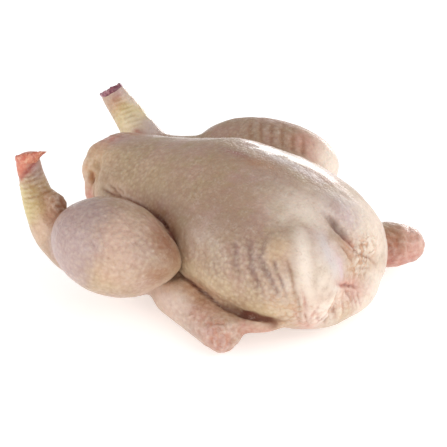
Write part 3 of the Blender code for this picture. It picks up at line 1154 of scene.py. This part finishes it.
        # Painted highlight on ridges, from how far each point stands above its surroundings.
        form.store(Mask.RIDGE_HIGHLIGHT, -narrow / self.ridge)
        bumpy = self.even_bumpy + self.patchy_bumpy * form.bumps(*self.bumpy_noise)
        for more, centre, reach in self.bumpy:
            bumpy = bumpy + more * form.inside(centre, reach)
        form.store(Mask.BUMPY, bumpy)

    def build(self) -> bpy.types.Object:
        """Builds, sculpts and dresses the skin.

        Returns:
            The piece.
        """
        piece = self.copy_form()
        form = Sculpt(piece)
        form.relax(self.relax_turns)
        form.soften(self.soften_turns)
        form.swell(self.swells)
        form.ease(*self.front)
        form.push(-np.clip(form.hollow(self.hollow_turns), 0.0, self.deepest) * self.deepen)
        form.soften(1)
        wavering = form.wander(*self.fold_waver)
        every = self.folds + tuple(fold for fan in self.fans for fold in fan.folds())
        shift = np.zeros(form.count)
        folded: dict[Mask, np.ndarray] = {}
        for fold in every:
            share = form.strength(fold, wavering)
            shift += fold.depth * share
            if fold.tone:
                before = folded.get(fold.tone, np.zeros(form.count))
                folded[fold.tone] = np.maximum(before, share * fold.share)
        form.push(shift)
        form.ripple(self.wrinkles, form.wander(*self.ripple_waver))
        form.lump(self.lumps)
        form.ease(*self.crease_end)
        form.push(sum(form.bumps(scale, seed) * height for scale, height, seed in self.unevenness))
        form.points[:, 2] = np.maximum(form.points[:, 2], 0.0)
        form.write()
        self.masks(form, folded)
        piece.data.materials.clear()
        piece.data.materials.append(SkinFinish().make())
        piece.data.polygons.foreach_set("use_smooth", [True] * len(piece.data.polygons))
        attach(piece, "root")
        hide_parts("duck")
        return piece


# Rings of the torn flesh and of the bone: height over the cut, share of the limb's radius,
# share of the flap, and how rough the ring is.
Ring = tuple[float, float, float, float]
FLESH_RINGS: tuple[Ring, ...] = (
    (-6.0, 0.80, 0.00, 0.0),
    (-4.0, 0.98, 0.00, 0.2),
    (-2.4, 1.04, 0.10, 0.4),
    (-1.0, 1.05, 0.45, 0.6),
    (0.4, 1.02, 1.00, 0.8),
    (1.0, 0.90, 0.80, 1.0),
    (0.4, 0.74, 0.30, 0.8),
    (-0.8, 0.58, 0.00, 0.6),
    (-1.2, 0.30, 0.00, 0.4),
)
BONE_RINGS: tuple[Ring, ...] = (
    (-6.0, 0.36, 0.00, 0.0),
    (-1.0, 0.40, 0.00, 0.2),
    (0.8, 0.42, 0.00, 0.3),
    (1.2, 0.34, 0.00, 0.3),
    (0.4, 0.20, 0.00, 0.2),
)


@dataclass
class ShankEnd:
    """Torn flesh round a bone, where a foot was cut off its shank."""

    name: str
    spot: Point
    axis: Point
    radius: float
    flap: Point
    flap_reach: float
    finish: FleshFinish
    seed: float
    sides: int = 56
    # How far round the limb the flap spreads, in radians.
    flap_spread: float = 0.5
    # Shares of the unevenness that go across the limb, and into the finer part.
    across_share: float = 0.6
    fine_share: float = 0.6

    def frame_axes(self) -> tuple[Vector, Vector, Vector]:
        """Works out the limb's own directions.

        Returns:
            The way out of the limb, the flap's way square to it, and the third way.
        """
        out = Vector(self.axis).normalized()
        flap = Vector(self.flap)
        flap = (flap - out * flap.dot(out)).normalized()
        return out, flap, out.cross(flap)

    def ragged(self, way: Vector, height: float, rough: float) -> tuple[float, float]:
        """Coarse and fine unevenness of a torn edge.

        Args:
            way: the direction from the limb's axis.
            height: the ring's height.
            rough: the largest unevenness.

        Returns:
            The coarse and the fine part.
        """
        coarse = noise.noise(way * 3.1 + Vector((self.seed, height * 0.3, 0.0)))
        fine = noise.noise(way * 9.0 + Vector((0.0, self.seed, height * 0.9)))
        return coarse * rough, fine * rough * self.fine_share

    def turned(self, name: str, rings: tuple[Ring, ...], material: bpy.types.Material) -> bpy.types.Object:
        """Makes a closed lump through rings round the limb's axis.

        Args:
            name: the piece's name.
            rings: its rings.
            material: its finish.

        Returns:
            The piece.
        """
        out, flap, third = self.frame_axes()
        points: list[Vector] = []
        for height, wide, part, rough in rings:
            for i in range(self.sides):
                angle = 2 * math.pi * i / self.sides
                way = flap * math.cos(angle) + third * math.sin(angle)
                turn = min(angle, 2 * math.pi - angle)
                reach = self.flap_reach * part * math.exp(-((turn / self.flap_spread) ** 2))
                jag, fine = self.ragged(way, height, rough)
                across = way * (self.radius * wide + reach + jag * self.across_share)
                points.append(Vector(self.spot) + across + out * (height + jag + fine))
        points.append(Vector(self.spot) + out * rings[0][0])
        points.append(Vector(self.spot) + out * rings[-1][0])
        faces = []
        for level in range(len(rings) - 1):
            for i in range(self.sides):
                j = (i + 1) % self.sides
                low, high = level * self.sides, (level + 1) * self.sides
                faces.append((low + i, low + j, high + j, high + i))
        last = (len(rings) - 1) * self.sides
        for i in range(self.sides):
            j = (i + 1) % self.sides
            faces.append((j, i, len(points) - 2))
            faces.append((last + i, last + j, len(points) - 1))
        mesh = bpy.data.meshes.new(name)
        mesh.from_pydata([tuple(point * MILLIMETRE) for point in points], [], faces)
        mesh.materials.append(material)
        mesh.polygons.foreach_set("use_smooth", [True] * len(mesh.polygons))
        piece = bpy.data.objects.new(name, mesh)
        bpy.context.scene.collection.objects.link(piece)
        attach(piece, "root")
        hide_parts("duck")
        return piece

    def build(self) -> tuple[bpy.types.Object, bpy.types.Object]:
        """Builds flesh and bone.

        Returns:
            The two pieces.
        """
        flesh = self.turned(f"{self.name}_flesh", FLESH_RINGS, self.finish.make())
        bone = self.turned(f"{self.name}_bone", BONE_RINGS, BoneFinish(f"{self.name}_bone").make())
        return flesh, bone


SHANK_ENDS = (
    ShankEnd(
        name="near_shank",
        spot=(-92.4, -82.8, 97.8),
        axis=(-0.42, 0.24, 0.87),
        radius=8.0,
        flap=(0.79, 0.61, 0.0),
        flap_reach=6.2,
        finish=FleshFinish("near_flesh", paint(222, 148, 120), paint(200, 108, 84), paint(238, 190, 158)),
        seed=1.0,
    ),
    ShankEnd(
        name="far_shank",
        spot=(-129.0, 45.2, 98.5),
        axis=(-0.573, 0.0, 0.819),
        radius=8.8,
        flap=(-0.79, -0.61, 0.0),
        flap_reach=1.0,
        finish=FleshFinish("far_flesh", paint(164, 104, 116), paint(120, 60, 74), paint(206, 160, 160)),
        seed=4.0,
    ),
)


# ---------------------------------------------------------------- studio


def direction(azimuth: float, elevation: float) -> Vector:
    """The direction from the bird towards a place round it.

    Args:
        azimuth: degrees round it, from -Y towards +X.
        elevation: degrees above the floor.

    Returns:
        A vector of length 1.
    """
    turn, lift = math.radians(azimuth), math.radians(elevation)
    return Vector((math.sin(turn) * math.cos(lift), -math.cos(turn) * math.cos(lift), math.sin(lift)))


@dataclass(frozen=True)
class Lamp:
    """A rectangular soft light: where it stands round the bird, in degrees and metres, its
    width and height, and how bright its face is, 1 being white."""

    name: str
    azimuth: float
    elevation: float
    distance: float
    width: float
    height: float
    brightness: float


@dataclass
class Studio:
    """Pale floor, soft light and the camera."""

    lights: tuple[Lamp, ...] = (
        Lamp("window", 110.0, 20.0, 1.5, 2.2, 1.1, 1.26),
        Lamp("back", 196.0, 6.5, 1.6, 1.0, 0.30, 9.4),
        Lamp("left", 330.0, 18.0, 1.4, 1.2, 0.8, 2.2),
        Lamp("front", 74.0, 34.0, 1.4, 0.9, 0.9, 1.25),
    )
    daylight: float = 0.49
    target: Point = (0.0204, 0.0033, 0.0492)
    azimuth: float = 37.5
    elevation: float = 27.0
    distance: float = 0.97
    lens: float = 110.0
    film: float = 36.0
    nearest: float = 0.01
    # The camera aims this far right of and above the target.
    aim_off: tuple[float, float] = (-0.00533, -0.0032)
    floor_half: float = 6.0
    white: Colour = (0.92, 0.92, 0.92, 1.0)
    floor_glow: float = 0.50

    def camera(self) -> None:
        """Places the camera and makes it the scene's own."""
        back = direction(self.azimuth, self.elevation)
        right = direction(self.azimuth + 90.0, 0.0)
        target = Vector(self.target)
        spot = target + back * self.distance
        aim = target + right * self.aim_off[0] + back.cross(right) * self.aim_off[1]
        view = bpy.data.cameras.new("camera")
        view.lens = self.lens
        view.sensor_width = self.film
        view.clip_start = self.nearest
        made = bpy.data.objects.new("camera", view)
        made.location = spot
        made.rotation_euler = (aim - spot).to_track_quat("-Z", "Y").to_euler()
        bpy.context.scene.collection.objects.link(made)
        bpy.context.scene.camera = made

    def lamp(self, light: Lamp) -> None:
        """Adds a rectangular soft light that faces the bird.

        Args:
            light: the light's place, size and brightness.
        """
        way = direction(light.azimuth, light.elevation)
        data = bpy.data.lights.new(light.name, "AREA")
        data.shape = "RECTANGLE"
        data.size = light.width
        data.size_y = light.height
        data.energy = math.pi * light.width * light.height * light.brightness
        made = bpy.data.objects.new(light.name, data)
        made.location = Vector(self.target) + way * light.distance
        made.rotation_euler = (-way).to_track_quat("-Z", "Y").to_euler()
        bpy.context.scene.collection.objects.link(made)

    def floor(self) -> None:
        """Adds the pale floor, which glows a little."""
        size = self.floor_half
        mesh = bpy.data.meshes.new("floor")
        corners = [(-size, -size, 0), (size, -size, 0), (size, size, 0), (-size, size, 0)]
        mesh.from_pydata(corners, [], [(0, 1, 2, 3)])
        made = bpy.data.objects.new("floor", mesh)
        bpy.context.scene.collection.objects.link(made)
        g = Graph("floor")
        glow = {"Emission Color": self.white, "Emission Strength": self.floor_glow}
        mesh.materials.append(g.finish({"Base Color": self.white, "Roughness": 0.9, **glow}, {}))

    def build(self) -> None:
        """Sets up floor, lights, background and camera."""
        self.floor()
        for light in self.lights:
            self.lamp(light)
        world = bpy.data.worlds.new("studio")
        bpy.context.scene.world = world
        world.use_nodes = True
        sky = world.node_tree.nodes["Background"]
        sky.inputs["Color"].default_value = (1.0, 1.0, 1.0, 1.0)
        sky.inputs["Strength"].default_value = self.daylight
        scene = bpy.context.scene
        scene.view_settings.view_transform = "Standard"
        scene.view_settings.look = "None"
        self.camera()


def main() -> None:
    """Builds every piece in turn and reports it."""
    logging.basicConfig(level=logging.INFO, format="%(name)s: %(message)s")
    skin = SkinCover().build()
    log.info("skin: %d faces", len(skin.data.polygons))
    for end in SHANK_ENDS:
        for piece in end.build():
            log.info("%s: %d faces", piece.name, len(piece.data.polygons))
    Studio().build()
    log.info("studio: floor, lights and camera")


if __name__ == "__main__":
    main()
